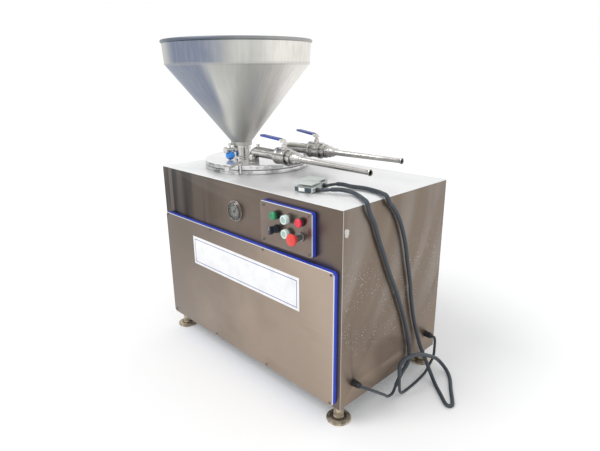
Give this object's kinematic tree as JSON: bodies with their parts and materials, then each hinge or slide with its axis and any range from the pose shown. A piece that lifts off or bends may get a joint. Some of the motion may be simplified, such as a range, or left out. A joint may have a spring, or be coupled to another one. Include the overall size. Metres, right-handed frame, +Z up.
{
  "type": "hydraulic sausage stuffer",
  "caption": "Floor-standing hydraulic sausage stuffer: steel cabinet, piston barrel, hopper lid, outlet ball valves with filling horns, control plate, gauge and foot switches.",
  "frame": {"origin": "on the floor, below the middle of the overall box without the cables", "axes": "+Z up, -Y out of the control side, +X the way the filling horns point"},
  "size_m": [1.2309, 0.6568, 1.231],
  "materials": {
    "cabinet_steel": "brushed",
    "bright_steel": "polished",
    "frame_steel": "satin",
    "machine_paint": "gloss",
    "black_rubber": "matte",
    "dark_plastic": "satin",
    "gauge_glass": "clear",
    "blue_plastic": "gloss",
    "blue_vinyl": "satin",
    "green_cap": "gloss",
    "pale_cap": "gloss",
    "red_cap": "gloss",
    "navy_knob": "satin",
    "grey_green_cast": "satin"
  },
  "bodies": {
    "cabinet": {"base_frame": "frame_steel", "cabinet_shell": "cabinet_steel", "rear_cover": "cabinet_steel", "front_sheet": "cabinet_steel", "top_plate": "bright_steel", "lower_panel": "cabinet_steel", "control_plate": "cabinet_steel", "foot_front_left": "bright_steel", "foot_front_right": "bright_steel", "foot_rear_left": "bright_steel", "foot_rear_right": "bright_steel", "gauge_case": "bright_steel", "gauge_glass": "gauge_glass", "button_body_green": "dark_plastic", "button_body_white_upper": "dark_plastic", "button_body_red": "dark_plastic", "button_body_selector": "dark_plastic", "button_body_white_lower": "dark_plastic", "button_body_mushroom": "dark_plastic", "cable_gland_front": "dark_plastic", "cable_gland_rear": "dark_plastic", "meat_barrel": "bright_steel", "hydraulic_cylinder": "machine_paint", "oil_tank": "machine_paint", "motor_and_pump": "machine_paint", "lid_plate": "bright_steel", "lid_seal": "black_rubber", "hopper": "bright_steel", "inlet_valve_body": "bright_steel", "outlet_pipe_front": "bright_steel", "outlet_pipe_rear": "bright_steel", "valve_body_front": "bright_steel", "valve_body_rear": "bright_steel", "horn_front": "bright_steel", "horn_rear": "bright_steel", "switch_housing_front": "grey_green_cast", "switch_housing_rear": "grey_green_cast", "cable_front": "black_rubber", "cable_rear": "black_rubber"},
    "needle": {"gauge_needle": "dark_plastic"},
    "green_cap": {"green_button": "green_cap"},
    "white_cap_upper": {"white_button_upper": "pale_cap"},
    "red_cap": {"red_button": "red_cap"},
    "white_cap_lower": {"white_button_lower": "pale_cap"},
    "mushroom": {"mushroom_button": "red_cap"},
    "selector": {"selector_knob": "navy_knob"},
    "inlet_valve": {"inlet_valve_disc": "bright_steel", "ball_knob": "blue_plastic"},
    "outlet_valve_front": {"valve_lever_front": "bright_steel", "lever_sleeve_front": "blue_vinyl"},
    "outlet_valve_rear": {"valve_lever_rear": "bright_steel", "lever_sleeve_rear": "blue_vinyl"},
    "union_nut_front": {"horn_nut_front": "bright_steel"},
    "union_nut_rear": {"horn_nut_rear": "bright_steel"},
    "clamp_front": {"clamp_nut_front": "bright_steel"},
    "clamp_rear": {"clamp_nut_rear": "bright_steel"},
    "bleeder": {"bleed_screw": "bright_steel"},
    "ram": {"piston": "bright_steel"},
    "pedal_front": {"treadle_front": "grey_green_cast"},
    "pedal_rear": {"treadle_rear": "grey_green_cast"}
  },
  "joints": [
    {"name": "needle_turn", "type": "hinge", "parent": "cabinet", "child": "needle", "pos_m": [-0.014, -0.2552, 0.64], "axis": [0, 1, 0], "range_deg": [-177, 93]},
    {"name": "green_press", "type": "slide", "parent": "cabinet", "child": "green_cap", "axis": [0, 1, 0], "range_m": [0, 0.003], "stiffness_N_per_m": 500, "springref_m": -0.002},
    {"name": "white_upper_press", "type": "slide", "parent": "cabinet", "child": "white_cap_upper", "axis": [0, 1, 0], "range_m": [0, 0.003], "stiffness_N_per_m": 500, "springref_m": -0.002},
    {"name": "red_press", "type": "slide", "parent": "cabinet", "child": "red_cap", "axis": [0, 1, 0], "range_m": [0, 0.003], "stiffness_N_per_m": 500, "springref_m": -0.002},
    {"name": "white_lower_press", "type": "slide", "parent": "cabinet", "child": "white_cap_lower", "axis": [0, 1, 0], "range_m": [0, 0.003], "stiffness_N_per_m": 500, "springref_m": -0.002},
    {"name": "mushroom_press", "type": "slide", "parent": "cabinet", "child": "mushroom", "axis": [0, 1, 0], "range_m": [0, 0.005], "stiffness_N_per_m": 900, "springref_m": -0.002},
    {"name": "selector_turn", "type": "hinge", "parent": "cabinet", "child": "selector", "pos_m": [0.225, -0.27, 0.63], "axis": [0, 1, 0], "range_deg": [-45, 45]},
    {"name": "inlet_turn", "type": "hinge", "parent": "cabinet", "child": "inlet_valve", "pos_m": [-0.236, -0.04092, 0.8195], "axis": [0, 1, 0], "range_deg": [0, 90]},
    {"name": "outlet_turn_front", "type": "hinge", "parent": "cabinet", "child": "outlet_valve_front", "pos_m": [0.04774, -0.06681, 0.82], "axis": [0, 0, 1], "range_deg": [0, 90]},
    {"name": "outlet_turn_rear", "type": "hinge", "parent": "cabinet", "child": "outlet_valve_rear", "pos_m": [0.02877, 0.12398, 0.82], "axis": [0, 0, -1], "range_deg": [-14, 76]},
    {"name": "nut_turn_front", "type": "hinge", "parent": "cabinet", "child": "union_nut_front", "pos_m": [0.01279, -0.06498, 0.82], "axis": [0.9986, -0.0523, 0], "continuous": true},
    {"name": "nut_turn_rear", "type": "hinge", "parent": "cabinet", "child": "union_nut_rear", "pos_m": [-0.00618, 0.12215, 0.82], "axis": [0.9986, 0.0523, 0], "continuous": true},
    {"name": "clamp_turn_front", "type": "hinge", "parent": "cabinet", "child": "clamp_front", "pos_m": [-0.11426, -0.14452, 0.79], "axis": [0, 0, 1], "range_deg": [0, 60]},
    {"name": "clamp_turn_rear", "type": "hinge", "parent": "cabinet", "child": "clamp_rear", "pos_m": [-0.11426, 0.20268, 0.79], "axis": [0, 0, 1], "range_deg": [0, 60]},
    {"name": "bleeder_turn", "type": "hinge", "parent": "cabinet", "child": "bleeder", "pos_m": [-0.11104, -0.05849, 0.845], "axis": [0, 0, 1], "continuous": true},
    {"name": "ram_lift", "type": "slide", "parent": "cabinet", "child": "ram", "axis": [0, 0, 1], "range_m": [0, 0.25]},
    {"name": "pedal_press_front", "type": "hinge", "parent": "cabinet", "child": "pedal_front", "pos_m": [0.25652, -0.13892, 0.7618], "axis": [0.9781, 0.2079, 0], "range_deg": [0, 8], "stiffness_Nm_per_rad": 1.5, "springref_deg": -5.73},
    {"name": "pedal_press_rear", "type": "hinge", "parent": "cabinet", "child": "pedal_rear", "pos_m": [0.23052, -0.07892, 0.7618], "axis": [0.9781, 0.2079, 0], "range_deg": [0, 8], "stiffness_Nm_per_rad": 1.5, "springref_deg": -5.73}
  ]
}
